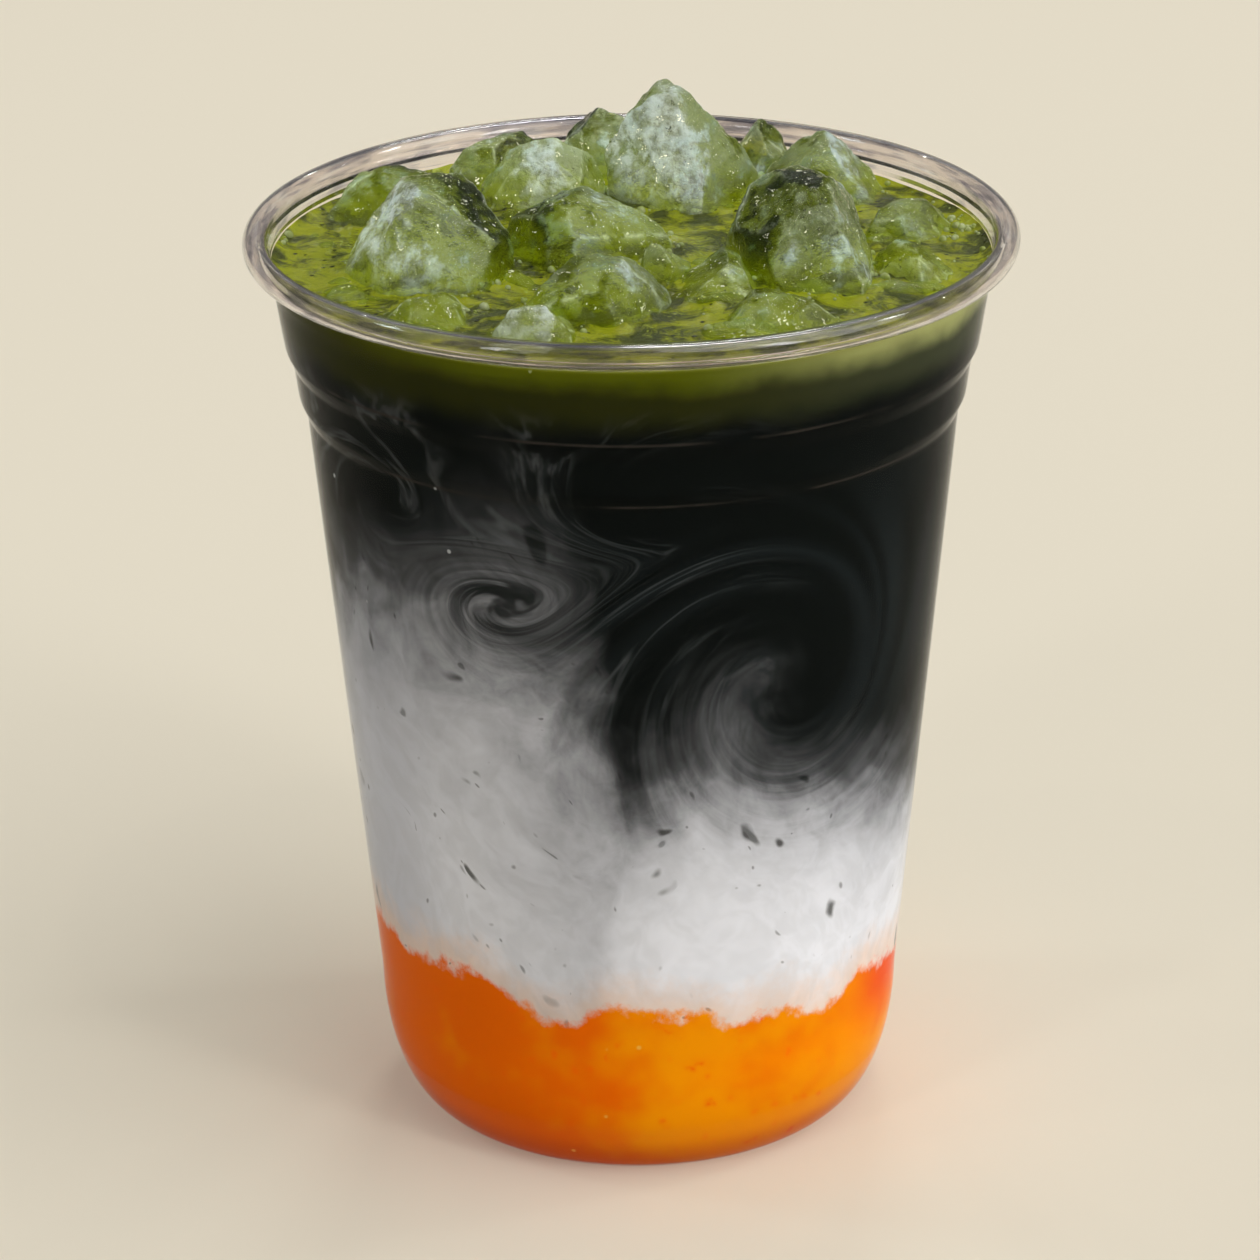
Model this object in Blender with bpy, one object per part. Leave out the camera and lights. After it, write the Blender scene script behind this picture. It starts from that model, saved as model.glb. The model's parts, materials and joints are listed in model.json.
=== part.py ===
"""Iced matcha latte to take away: a clear thin-walled cup with a rolled rim holds an orange fruit
base, milk, a near-black tea layer and green matcha, with a heap of melting ice above the rim.

Metres, +Z up, origin at the middle of the cup's foot, seen from -Y.
"""
import math
from collections import namedtuple

import bmesh
import bpy
import numpy as np
from mathutils import Vector

MM = 0.001

# Driving dimensions, in millimetres
CUP_HEIGHT = 120.0
RIM_RADIUS = 49.0
WALL = 0.55
GAP = 0.3
SEGMENTS = 48

PANEL_RISE = 3.0
PANEL_RADIUS = 22.6
FOOT_INNER = 25.9
FOOT_OUTER = 27.6
CORNER_RADIUS = 34.45
CORNER_TOP = 17.35
CORNER_STEPS = 4

LOWER_STEP = (41.70, 96.8, 42.65, 98.9)
UPPER_STEP = (43.25, 103.6, 44.20, 105.6)
LEDGE = (45.40, 113.6, 45.65, 114.3)
NECK = (45.95, 116.3)

BEAD_HALF_WIDTH = 1.55
BEAD_HALF_HEIGHT = 1.65
BEAD_STEPS = 6

SLAB_RINGS = (16.0, 30.0, 40.0, 56.0)
LIQUID_LEVEL = 114.9
ICE_UNDERSIDE = 109.4
ICE_REACH = 43.5
WALL_DIRECTIONS = 24
SIDE_FACETS = 6
ROUNDING = 11.0

# A lump's middle, top, half widths at the liquid's level, heading, side slope and peak shift
Lump = namedtuple("Lump", "name x y top half_x half_y heading slope peak_x peak_y detail seed")

LUMPS = (
    Lump("ice_peak_back", 7.4, 28.0, 130.0, 11.8, 9.6, 0, 22, -4.5, 0.0, 3, 3),
    Lump("ice_block_left", -24.8, -4.0, 126.6, 9.8, 11.0, 20, 14, 1.5, 3.5, 3, 5),
    Lump("ice_white_top", -12.0, 26.0, 123.4, 8.6, 7.4, -20, 21, 3.0, 1.0, 2, 8),
    Lump("ice_centre", -6.5, 4.0, 122.0, 11.6, 10.8, 10, 21, 0.5, 2.5, 3, 13),
    Lump("ice_slab_front", -5.5, -20.0, 121.4, 11.0, 7.0, 25, 18, 4.0, 1.5, 2, 21),
    Lump("ice_chip_front", -12.0, -31.5, 119.2, 5.6, 4.6, 10, 16, 0.0, 0.0, 2, 34),
    Lump("ice_block_right", 22.6, -6.0, 127.6, 10.8, 11.4, 35, 21, -3.5, 4.5, 3, 55),
    Lump("ice_back_right", 25.2, 27.5, 123.2, 8.2, 7.8, 15, 24, -1.2, 1.0, 2, 89),
    Lump("ice_flat_right", 36.4, 11.0, 118.4, 7.4, 9.2, -30, 14, 0.0, 0.0, 2, 11),
    Lump("ice_chip_right", 35.2, -6.0, 118.0, 5.4, 6.0, 40, 16, 0.0, 0.0, 2, 29),
    Lump("ice_green_back", -4.2, 38.0, 124.2, 5.8, 5.0, 0, 16, 0.0, 0.0, 2, 47),
    Lump("ice_back_left", -18.5, 35.5, 120.6, 9.0, 5.6, 25, 18, 2.0, 0.0, 2, 18),
    Lump("ice_far_left", -32.0, 20.5, 120.6, 8.6, 8.0, -40, 18, 2.0, 2.0, 2, 76),
    Lump("ice_lump_right", 10.4, -11.0, 119.0, 6.8, 7.6, 0, 20, 0.0, 0.0, 2, 31),
    Lump("ice_chip_centre", 3.8, -6.8, 119.2, 3.4, 3.8, 20, 16, 0.0, 0.0, 2, 62),
    Lump("ice_sliver_back", 17.4, 37.2, 121.8, 5.4, 4.4, -15, 14, 0.0, 0.0, 2, 91),
    Lump("ice_flat_front_right", 18.0, -25.5, 118.0, 10.6, 5.6, -5, 14, 0.0, 0.0, 2, 24),
    Lump("ice_flat_front_left", -24.8, -22.0, 118.2, 6.4, 6.8, 30, 14, 0.0, 0.0, 2, 83),
)


def clear_scene():
    """Empty the open file of its objects."""
    for thing in list(bpy.data.objects):
        bpy.data.objects.remove(thing, do_unlink=True)


def principled(name, colour, roughness, transmission=0.0, ior=1.45):
    """A Principled material with one colour."""
    material = bpy.data.materials.new(name)
    material.use_nodes = True
    shader = material.node_tree.nodes["Principled BSDF"]
    shader.inputs["Base Color"].default_value = (*colour, 1.0)
    shader.inputs["Roughness"].default_value = roughness
    shader.inputs["Metallic"].default_value = 0.0
    shader.inputs["Transmission Weight"].default_value = transmission
    shader.inputs["IOR"].default_value = ior
    material.diffuse_color = (*colour, 1.0)
    return material


def clear_plastic():
    """The cup's clear PET sheet."""
    return principled("clear_plastic", (0.93, 0.94, 0.93), 0.06, transmission=1.0, ior=1.57)


def orange_fruit():
    """Thick orange fruit puree."""
    return principled("orange_fruit", (0.76, 0.19, 0.006), 0.35)


def cold_milk():
    """Milk, faintly grey where the tea has run into it."""
    return principled("cold_milk", (0.62, 0.60, 0.58), 0.3)


def dark_tea():
    """Near-black tea layer."""
    return principled("dark_tea", (0.010, 0.013, 0.012), 0.25)


def green_matcha():
    """Yellow-green matcha at the surface."""
    return principled("green_matcha", (0.17, 0.26, 0.012), 0.25)


def melting_ice():
    """Cloudy ice with a green tinge."""
    return principled("melting_ice", (0.52, 0.60, 0.40), 0.15, transmission=0.5, ior=1.31)


def smooth(thing, angle=35.0):
    """Shade a round piece smooth up to a fold of that many degrees."""
    thing.data.shade_smooth()
    thing.data.set_sharp_from_angle(angle=math.radians(angle))


def add_object(name, verts, faces, material):
    """Put points in millimetres and their faces into the scene as one closed object facing out."""
    mesh = bpy.data.meshes.new(name)
    mesh.from_pydata([tuple(float(c) * MM for c in v) for v in verts], [], faces)
    shell = bmesh.new()
    shell.from_mesh(mesh)
    bmesh.ops.recalc_face_normals(shell, faces=shell.faces)
    shell.to_mesh(mesh)
    shell.free()
    thing = bpy.data.objects.new(name, mesh)
    bpy.context.collection.objects.link(thing)
    if material is not None:
        mesh.materials.append(material)
    return thing


def revolve(name, outline, material):
    """Spin an open outline that starts and ends on the axis into a closed turned body."""
    shell = bmesh.new()
    corners = [shell.verts.new((r * MM, 0.0, z * MM)) for r, z in outline]
    edges = [shell.edges.new(pair) for pair in zip(corners, corners[1:])]
    bmesh.ops.spin(shell, geom=corners + edges, cent=(0, 0, 0), axis=(0, 0, 1),
                   angle=math.tau, steps=SEGMENTS, use_merge=True)
    bmesh.ops.remove_doubles(shell, verts=shell.verts, dist=1e-6)
    bmesh.ops.recalc_face_normals(shell, faces=shell.faces)
    mesh = bpy.data.meshes.new(name)
    shell.to_mesh(mesh)
    shell.free()
    thing = bpy.data.objects.new(name, mesh)
    bpy.context.collection.objects.link(thing)
    mesh.materials.append(material)
    return thing


def inset(outline, distance):
    """Move an outline to its left by a distance, each corner along its mitre."""
    points = np.array(outline)
    steps = np.diff(points, axis=0)
    steps /= np.linalg.norm(steps, axis=1)[:, None]
    left = np.column_stack([-steps[:, 1], steps[:, 0]])
    before = np.vstack([left[:1], left])
    after = np.vstack([left, left[-1:]])
    mitre = (before + after) / (1.0 + np.sum(before * after, axis=1))[:, None]
    moved = points + distance * mitre
    moved[0, 0] = 0.0
    return [tuple(p) for p in moved]


def wall_outline():
    """The cup's outside from the middle of its raised floor, round the foot and up to the neck."""
    outline = [(0.0, PANEL_RISE), (PANEL_RADIUS, PANEL_RISE),
               (FOOT_INNER - 1.2, 1.0), (FOOT_INNER, 0.0)]
    for step in range(CORNER_STEPS + 1):
        turn = 0.5 * math.pi * step / CORNER_STEPS
        outline.append((FOOT_OUTER + (CORNER_RADIUS - FOOT_OUTER) * math.sin(turn),
                        CORNER_TOP * (1.0 - math.cos(turn))))
    for ring in (LOWER_STEP, UPPER_STEP, LEDGE):
        outline += [ring[:2], ring[2:]]
    outline.append(NECK)
    return outline


def bead_outline():
    """The rolled rim's section, from under the roll round its outside to its inner edge."""
    middle_r = RIM_RADIUS - BEAD_HALF_WIDTH
    middle_z = CUP_HEIGHT - BEAD_HALF_HEIGHT
    turns = np.radians(np.linspace(-90.0, 180.0, BEAD_STEPS + 1))
    return [(middle_r + BEAD_HALF_WIDTH * math.cos(t), middle_z + BEAD_HALF_HEIGHT * math.sin(t))
            for t in turns]


def build_cup():
    """The wall, its inset twin and the rim between them, turned as one thin shell."""
    outside = wall_outline()
    inside = inset(outside, WALL)
    outline = outside + bead_outline() + inside[::-1]
    cup = revolve("cup", outline, clear_plastic())
    smooth(cup)
    return cup


def from_front(x, y):
    """Angle round the cup from the front, rising to the right, in radians."""
    return np.arctan2(x, -y)


def surface_fruit_top(x, y):
    """Fruit top: higher on the left, with scalloped tongues round the wall."""
    turn = from_front(x, y)
    reach = np.clip(np.hypot(x, y) / 34.0, 0.0, 1.0)
    tongues = (1.1 * np.sin(7.0 * turn + 0.6) + 0.8 * np.sin(11.0 * turn + 2.1)
               + 0.5 * np.sin(17.0 * turn + 4.0))
    return 24.6 - 3.1 * x / 34.0 + tongues * reach ** 2


def surface_milk_top(x, y):
    """Milk top: a high bank on the left that falls steeply near the middle of the front."""
    lean = math.radians(6.0)
    across = (x * math.cos(lean) - y * math.sin(lean)) / 38.0
    turn = from_front(x, y)
    reach = np.clip(np.hypot(x, y) / 38.0, 0.0, 1.0)
    billows = 1.6 * np.sin(6.0 * turn + 1.0) + 1.0 * np.sin(13.0 * turn + 3.0)
    return 66.0 - 17.0 * np.tanh(5.0 * across) - 7.0 * y / 38.0 + billows * reach ** 2


def surface_tea_top(x, y):
    """Tea top, just under the matcha, a little higher on the right."""
    turn = from_front(x, y)
    reach = np.clip(np.hypot(x, y) / 44.0, 0.0, 1.0)
    return 105.6 + 1.3 * x / 44.0 + 0.4 * np.sin(9.0 * turn) * reach ** 2


def surface_matcha_top(x, y):
    """The drink's surface, with slow low waves."""
    return LIQUID_LEVEL + 0.22 * np.sin(0.16 * x + 1.0) * np.sin(0.13 * y + 0.4)


def slab(name, lower, upper):
    """A round slab wider than the cup between two height fields on a polar grid."""
    turns = np.arange(SEGMENTS) * math.tau / SEGMENTS
    x = np.concatenate([[0.0]] + [r * np.cos(turns) for r in SLAB_RINGS])
    y = np.concatenate([[0.0]] + [r * np.sin(turns) for r in SLAB_RINGS])
    under = np.column_stack([x, y, lower(x, y)])
    over = np.column_stack([x, y, upper(x, y)])
    count = len(x)
    faces = []
    for k in range(SEGMENTS):
        after = (k + 1) % SEGMENTS
        for base, flip in ((0, True), (count, False)):
            corners = [(base, base + 1 + k, base + 1 + after)]
            for ring in range(len(SLAB_RINGS) - 1):
                near = base + 1 + ring * SEGMENTS
                far = near + SEGMENTS
                corners.append((near + k, far + k, far + after))
                corners.append((near + k, far + after, near + after))
            faces += [face[::-1] if flip else face for face in corners]
        edge = 1 + (len(SLAB_RINGS) - 1) * SEGMENTS
        faces.append((edge + k, edge + after, count + edge + after, count + edge + k))
    return add_object(name, np.vstack([under, over]), faces, None)


def carve(target, operation, tool=None, tools=None):
    """Boolean one object with a tool or a collection of tools, apply it and drop the tools."""
    cut = target.modifiers.new("cut", "BOOLEAN")
    cut.operation = operation
    cut.solver = "EXACT"
    if tools is None:
        cut.object = tool
    else:
        cut.operand_type = "COLLECTION"
        cut.collection = tools
    graph = bpy.context.evaluated_depsgraph_get()
    result = bpy.data.meshes.new_from_object(target.evaluated_get(graph))
    target.modifiers.remove(cut)
    target.data = result
    for spent in [tool] if tools is None else list(tools.objects):
        bpy.data.objects.remove(spent, do_unlink=True)
    if tools is not None:
        bpy.data.collections.remove(tools)


def keep_main_body(thing):
    """Drop every loose scrap but the largest connected body."""
    shell = bmesh.new()
    shell.from_mesh(thing.data)
    unseen = set(shell.verts)
    bodies = []
    while unseen:
        body = {unseen.pop()}
        edge = list(body)
        while edge:
            near = {e.other_vert(v) for v in edge for e in v.link_edges}
            edge = list(near & unseen)
            body.update(edge)
            unseen.difference_update(edge)
        bodies.append(body)
    bodies.sort(key=len)
    for scrap in bodies[:-1]:
        bmesh.ops.delete(shell, geom=list(scrap), context="VERTS")
    shell.to_mesh(thing.data)
    shell.free()


def layer(name, lower, upper, material):
    """The part of the cup's inside between two height fields, half a gap clear of both."""
    outline = inset(wall_outline(), WALL + GAP)
    body = revolve(name, outline + [(0.0, outline[-1][1])], material)
    tool = slab(name + "_slab", lambda x, y: lower(x, y) + GAP / 2,
                lambda x, y: upper(x, y) - GAP / 2)
    carve(body, "INTERSECT", tool)
    smooth(body)
    return body


def below_floor(x, y):
    """A level under the cup, so that the fruit reaches its floor."""
    return np.full_like(x, -5.0)


def lump_middle(lump):
    """The middle of an ice lump, halfway between its underside and its top."""
    return Vector((lump.x, lump.y, 0.5 * (lump.top + ICE_UNDERSIDE)))


def own_facets(lump):
    """A lump's side facets, two top facets that meet in a ridge, and its flat underside.

    Each is a unit normal and its distance from the lump's middle.
    """
    draw = np.random.default_rng(lump.seed)
    half = 0.5 * (lump.top - ICE_UNDERSIDE)
    above = ICE_UNDERSIDE + half - LIQUID_LEVEL
    heading = math.radians(lump.heading)
    facets = []
    for k in range(SIDE_FACETS):
        turn = math.tau * k / SIDE_FACETS + draw.uniform(-0.22, 0.22)
        reach = math.hypot(lump.half_x * math.cos(turn), lump.half_y * math.sin(turn))
        reach *= draw.uniform(0.93, 1.03)
        facing = turn + heading
        lean = math.atan2(lump.peak_x * math.cos(facing) + lump.peak_y * math.sin(facing), 2 * half)
        slope = math.radians(lump.slope + draw.uniform(-7.0, 7.0)) - lean
        normal = Vector((math.cos(facing) * math.cos(slope), math.sin(facing) * math.cos(slope),
                         math.sin(slope)))
        facets.append((normal, reach * math.cos(slope) - above * math.sin(slope)))
    ridge = heading + draw.uniform(0.0, math.pi)
    for side in (0.0, math.pi):
        tilt = math.radians(draw.uniform(14.0, 34.0))
        normal = Vector((math.cos(ridge + side) * math.sin(tilt),
                         math.sin(ridge + side) * math.sin(tilt), math.cos(tilt)))
        crest = Vector((lump.peak_x, lump.peak_y, half))
        facets.append((normal, max(normal.dot(crest), 0.6 * half)))
    facets.append((Vector((0, 0, -1)), half))
    return facets


def shared_facets(lump):
    """Facets that keep a lump off every other lump and inside the cup's wall."""
    middle = lump_middle(lump)
    facets = []
    for other in LUMPS:
        if other is lump:
            continue
        apart = lump_middle(other) - middle
        normal = apart.normalized()
        own = math.hypot(lump.half_x * normal.x, lump.half_y * normal.y)
        theirs = math.hypot(other.half_x * normal.x, other.half_y * normal.y)
        share = own / (own + theirs)
        facets.append((normal, share * (apart.length - GAP)))
    for k in range(WALL_DIRECTIONS):
        turn = math.tau * k / WALL_DIRECTIONS
        normal = Vector((math.cos(turn), math.sin(turn), 0.0))
        facets.append((normal, ICE_REACH - middle.dot(normal)))
    return facets


def lump_points(lump, directions, swell):
    """Points of a lump along unit directions from its middle.

    The reach along a direction is the soft minimum of the distances to all the facets, which
    rounds every edge as melting does.
    """
    facets = own_facets(lump) + shared_facets(lump)
    normals = np.array([tuple(n) for n, _ in facets])
    distances = np.array([d for _, d in facets]) + swell
    steep = np.maximum(directions @ normals.T, 0.0) / distances
    reach = np.sum(steep ** ROUNDING, axis=1) ** (-1.0 / ROUNDING)
    return np.array(tuple(lump_middle(lump))) + directions * reach[:, None]


def build_lump(lump, material=None, swell=0.0):
    """One lump of ice on the directions of an icosphere, swelled for a cutter."""
    ball = bmesh.new()
    bmesh.ops.create_icosphere(ball, subdivisions=lump.detail, radius=1.0)
    directions = np.array([tuple(v.co.normalized()) for v in ball.verts])
    faces = [tuple(v.index for v in face.verts) for face in ball.faces]
    ball.free()
    name = lump.name if material else lump.name + "_pocket"
    thing = add_object(name, lump_points(lump, directions, swell), faces, material)
    if material:
        smooth(thing, 50.0)
    return thing


def build_ice():
    """Every lump of ice, each its own object with one shared material."""
    material = melting_ice()
    for lump in LUMPS:
        build_lump(lump, material)


def build_drink():
    """The four layers of the drink, the matcha cut round the ice."""
    layer("fruit_base", below_floor, surface_fruit_top, orange_fruit())
    layer("milk_layer", surface_fruit_top, surface_milk_top, cold_milk())
    layer("tea_layer", surface_milk_top, surface_tea_top, dark_tea())
    matcha = layer("matcha_layer", surface_tea_top, surface_matcha_top, green_matcha())
    pockets = bpy.data.collections.new("pockets")
    for lump in LUMPS:
        pockets.objects.link(build_lump(lump, swell=GAP))
    carve(matcha, "DIFFERENCE", tools=pockets)
    keep_main_body(matcha)
    smooth(matcha)


clear_scene()
build_cup()
build_drink()
build_ice()
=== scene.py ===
import json
import math

import bmesh
import bpy
import numpy as np
from mathutils import Matrix, Vector

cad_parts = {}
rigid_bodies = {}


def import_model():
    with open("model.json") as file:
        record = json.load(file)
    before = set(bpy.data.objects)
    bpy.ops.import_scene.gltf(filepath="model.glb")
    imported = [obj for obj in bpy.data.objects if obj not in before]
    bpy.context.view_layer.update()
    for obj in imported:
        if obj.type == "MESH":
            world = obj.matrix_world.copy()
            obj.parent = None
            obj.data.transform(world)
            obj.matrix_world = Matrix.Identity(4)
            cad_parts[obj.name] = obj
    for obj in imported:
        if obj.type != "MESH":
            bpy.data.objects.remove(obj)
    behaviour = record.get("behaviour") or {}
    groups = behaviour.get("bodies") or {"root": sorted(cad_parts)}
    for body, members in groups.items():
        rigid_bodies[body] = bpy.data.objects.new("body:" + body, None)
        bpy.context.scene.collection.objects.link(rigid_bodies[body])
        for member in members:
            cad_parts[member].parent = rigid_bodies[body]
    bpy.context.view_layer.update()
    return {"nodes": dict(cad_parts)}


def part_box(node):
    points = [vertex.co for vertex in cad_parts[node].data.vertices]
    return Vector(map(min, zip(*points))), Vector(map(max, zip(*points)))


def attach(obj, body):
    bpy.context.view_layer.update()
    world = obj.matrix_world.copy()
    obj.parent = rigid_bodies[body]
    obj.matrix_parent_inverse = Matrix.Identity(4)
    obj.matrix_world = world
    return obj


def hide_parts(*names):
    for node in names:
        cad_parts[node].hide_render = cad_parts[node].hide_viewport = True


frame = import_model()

MM = 0.001


# Clear cup
# One thin sheet of clear PET, drawn deep over a former: a raised floor panel, a round foot, a straight
# cone, two stacking steps and a ledge. Its mouth is rolled outwards into a hollow bead.
# Sizes are in mm and angles in degrees
CUP_TURNS = 192
SHEET = 0.45
FOOT_EXTRA = 0.3
FOOT_INNER = 20.0
PANEL_RISE = 3.0
FOOT_OUTER = 27.6
CORNER_RADIUS = 34.45
CORNER_TOP = 17.35
RIM_MIDDLE = (47.45, 118.35)
RIM_HALF = (1.55, 1.65)
ROLL_END = -125.0
ROLL_FROM = 116.5
FOOT_UP_TO = 7.5


def along(points, step):
    """An outline read again at even steps of its own length."""
    length = np.concatenate([[0.0], np.cumsum(np.hypot(*np.diff(points, axis=0).T))])
    places = np.linspace(0.0, length[-1], int(length[-1] / step) + 1)
    return np.column_stack([np.interp(places, length, points[:, k]) for k in (0, 1)])


def softened(points, width, step):
    """An outline with its folds rounded: each point is the mean of its neighbours within a width."""
    reach = max(int(0.5 * width / step), 1)
    kernel = np.hanning(2 * reach + 3)[1:-1]
    kernel /= kernel.sum()
    before = 2.0 * points[0] - points[1:reach + 1][::-1]
    after = 2.0 * points[-1] - points[-reach - 1:-1][::-1]
    padded = np.vstack([before, points, after])
    return np.column_stack([np.convolve(padded[:, k], kernel, "valid") for k in (0, 1)])


def normals_of(points):
    """Unit normals on the left of an outline, from its central differences."""
    run = np.gradient(points, axis=0)
    run /= np.maximum(np.linalg.norm(run, axis=1), 1e-9)[:, None]
    return np.column_stack([-run[:, 1], run[:, 0]])


def thinned(points, longest=4.0, turn=6.0):
    """An outline with rows where it bends: one each few degrees of bend or few mm of length."""
    steps = np.diff(points, axis=0)
    heading = np.unwrap(np.arctan2(steps[:, 1], steps[:, 0]))
    bend = np.concatenate([[0.0], np.abs(np.diff(heading)), [0.0]])
    weight = np.hypot(*steps.T) / longest + np.degrees(0.5 * (bend[1:] + bend[:-1])) / turn
    measure = np.concatenate([[0.0], np.cumsum(weight)])
    places = np.linspace(0.0, measure[-1], int(measure[-1]) + 2)
    return np.column_stack([np.interp(places, measure, points[:, k]) for k in (0, 1)])


def foot_share(height):
    """How much of the foot's extra thickness a height has: all at the floor, none above 9 mm."""
    rise = np.clip((9.0 - height) / 8.0, 0.0, 1.0)
    return rise * rise * (3.0 - 2.0 * rise)


def outer_wall():
    """The cup's outside from the middle of the floor panel to the neck: straight runs and a quarter
    ellipse round the foot, softened as drawn sheet is."""
    quarter = np.radians(np.linspace(0.0, 90.0, 16))
    corner = np.column_stack([FOOT_OUTER + (CORNER_RADIUS - FOOT_OUTER) * np.sin(quarter),
                              CORNER_TOP * (1.0 - np.cos(quarter))])
    floor = [(0.0, PANEL_RISE), (22.6, PANEL_RISE), (24.7, 1.0), (25.9, 0.0)]
    steps = [(41.70, 96.8), (42.65, 98.9), (43.25, 103.6), (44.20, 105.6), (45.40, 113.6),
             (45.65, 114.3), (45.95, 116.3)]
    outline = along(np.vstack([floor, corner, steps]), 0.1)
    soft = softened(outline, 1.4, 0.1)
    soft[0] = outline[0]
    soft[:, 1] = np.maximum(soft[:, 1], 0.0)
    return soft


def arc(start, end, half_width, half_height, count=60):
    """Part of an ellipse about the middle of the rolled rim."""
    turn = np.radians(np.linspace(start, end, count))
    return np.column_stack([RIM_MIDDLE[0] + half_width * np.cos(turn),
                            RIM_MIDDLE[1] + half_height * np.sin(turn)])


def turned(name, outline, turns, materials):
    """A body of revolution: each outline point (radius, height) carried round Z, with one point at
    each end that lies on the axis."""
    angle = np.arange(turns) * math.tau / turns
    ring = outline[1:-1]
    grid = np.stack([ring[:, :1] * np.cos(angle), ring[:, :1] * np.sin(angle),
                     np.repeat(ring[:, 1:], turns, axis=1)], axis=-1)
    ends = np.array([[0.0, 0.0, outline[0, 1]], [0.0, 0.0, outline[-1, 1]]])
    return grid_body(name, grid, ends, materials)


def grid_body(name, grid, ends, materials):
    """A closed mesh from a grid of rows by turns, in mm, with a fan to one point at either end."""
    rows, turns = grid.shape[:2]
    verts = np.vstack([grid.reshape(-1, 3), ends]) * MM
    k = np.arange(turns)
    after = (k + 1) % turns
    row = np.arange(rows - 1)[:, None] * turns
    quads = np.stack([row + k, row + after, row + turns + after, row + turns + k], axis=-1)
    first = rows * turns
    last = (rows - 1) * turns
    fans = np.vstack([np.column_stack([np.full(turns, first), after, k]),
                      np.column_stack([np.full(turns, first + 1), last + k, last + after])])
    mesh = bpy.data.meshes.new(name)
    mesh.from_pydata(verts.tolist(), [], quads.reshape(-1, 4).tolist() + fans.tolist())
    mesh.shade_smooth()
    mesh.set_sharp_from_angle(angle=math.radians(40.0))
    for material in materials:
        mesh.materials.append(material)
    return placed(name, mesh)


def placed(name, data):
    """An object at the origin that shows a mesh, a lamp or a camera."""
    thing = bpy.data.objects.new(name, data)
    bpy.context.collection.objects.link(thing)
    return thing


def put(tree, kind, inputs=None, **settings):
    """Add a node, with its settings, and its inputs as values or as other nodes' outputs."""
    node = tree.nodes.new(kind)
    for name, value in settings.items():
        setattr(node, name, value)
    for name, value in (inputs or {}).items():
        if isinstance(value, bpy.types.NodeSocket):
            tree.links.new(value, node.inputs[name])
        else:
            node.inputs[name].default_value = value
    return node


def calc(tree, operation, *values):
    """One step of arithmetic as a Math node, and its result."""
    return put(tree, "ShaderNodeMath", dict(enumerate(values)), operation=operation).outputs[0]


def times(tree, first, second):
    """The product of two values."""
    return calc(tree, "MULTIPLY", first, second)


def plus(tree, first, second):
    """The sum of two values."""
    return calc(tree, "ADD", first, second)


def minus(tree, first, second):
    """What is left of the first value without the second."""
    return calc(tree, "SUBTRACT", first, second)


def line(tree, value, slope, start):
    """A straight line over a value: slope times the value, plus a start."""
    return calc(tree, "MULTIPLY_ADD", value, slope, start)


def vector_calc(tree, operation, *values):
    """One step of vector arithmetic, and its result."""
    node = put(tree, "ShaderNodeVectorMath", dict(enumerate(values)), operation=operation)
    return node.outputs["Value" if operation == "LENGTH" else "Vector"]


def scaled(tree, vector, factor):
    """A vector made longer or shorter by a factor."""
    node = put(tree, "ShaderNodeVectorMath", {0: vector, "Scale": factor}, operation="SCALE")
    return node.outputs[0]


def parts_of(tree, vector):
    """The x, y and z of a vector."""
    return put(tree, "ShaderNodeSeparateXYZ", {0: vector}).outputs


def blended(tree, factor, first, second):
    """Two colours mixed by a factor."""
    node = put(tree, "ShaderNodeMix", data_type="RGBA")
    for socket, value in ((node.inputs["Factor"], factor), (node.inputs[6], first),
                          (node.inputs[7], second)):
        if isinstance(value, bpy.types.NodeSocket):
            tree.links.new(value, socket)
        elif isinstance(value, tuple):
            socket.default_value = (*value, 1.0)
        else:
            socket.default_value = value
    return node.outputs[2]


def ramp(tree, value, low, high):
    """A value's soft rise from 0 at a low mark to 1 at a high mark."""
    node = put(tree, "ShaderNodeMapRange", {"Value": value, "From Min": low, "From Max": high},
               interpolation_type="SMOOTHSTEP", clamp=True)
    return node.outputs[0]


def ramp_to(tree, value, low, high):
    """A 0 to 1 value carried onto a range of its own."""
    return put(tree, "ShaderNodeMapRange", {"Value": value, "To Min": low, "To Max": high}).outputs[0]


def noise(tree, vector, scale, detail=3.0, roughness=0.5):
    """Cloud noise of a scale in cycles for each mm: its value and its colour."""
    node = put(tree, "ShaderNodeTexNoise", {"Vector": vector, "Scale": scale, "Detail": detail,
                                            "Roughness": roughness})
    return node.outputs[0], node.outputs[1]


def millimetres(tree):
    """Object coordinates in millimetres."""
    return scaled(tree, put(tree, "ShaderNodeTexCoord").outputs["Object"], 1000.0)


def new_material(name, **values):
    """A node material with one Principled shader, its plain values set on its own sockets."""
    material = bpy.data.materials.new(name)
    material.use_nodes = True
    shader = material.node_tree.nodes["Principled BSDF"]
    for socket, value in values.items():
        shader.inputs[socket.replace("_", " ")].default_value = value
    return material, material.node_tree, shader


def bumped(tree, shader, height, strength, distance):
    """A height from 0 to 1 as relief on a shader, over a distance in metres."""
    bump = put(tree, "ShaderNodeBump", {"Strength": strength, "Distance": distance, "Height": height})
    tree.links.new(bump.outputs[0], shader.inputs["Normal"])


def lamps_shine_through(tree, shader, colour=(1.0, 1.0, 1.0)):
    """Shadow rays pass straight through with a tint, and every other ray meets the shader."""
    straight = put(tree, "ShaderNodeBsdfTransparent", {"Color": (*colour, 1.0)})
    path = put(tree, "ShaderNodeLightPath")
    both = put(tree, "ShaderNodeMixShader", {0: path.outputs["Is Shadow Ray"],
                                             1: shader.outputs[0], 2: straight.outputs[0]})
    tree.links.new(both.outputs[0], tree.nodes["Material Output"].inputs["Surface"])


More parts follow.
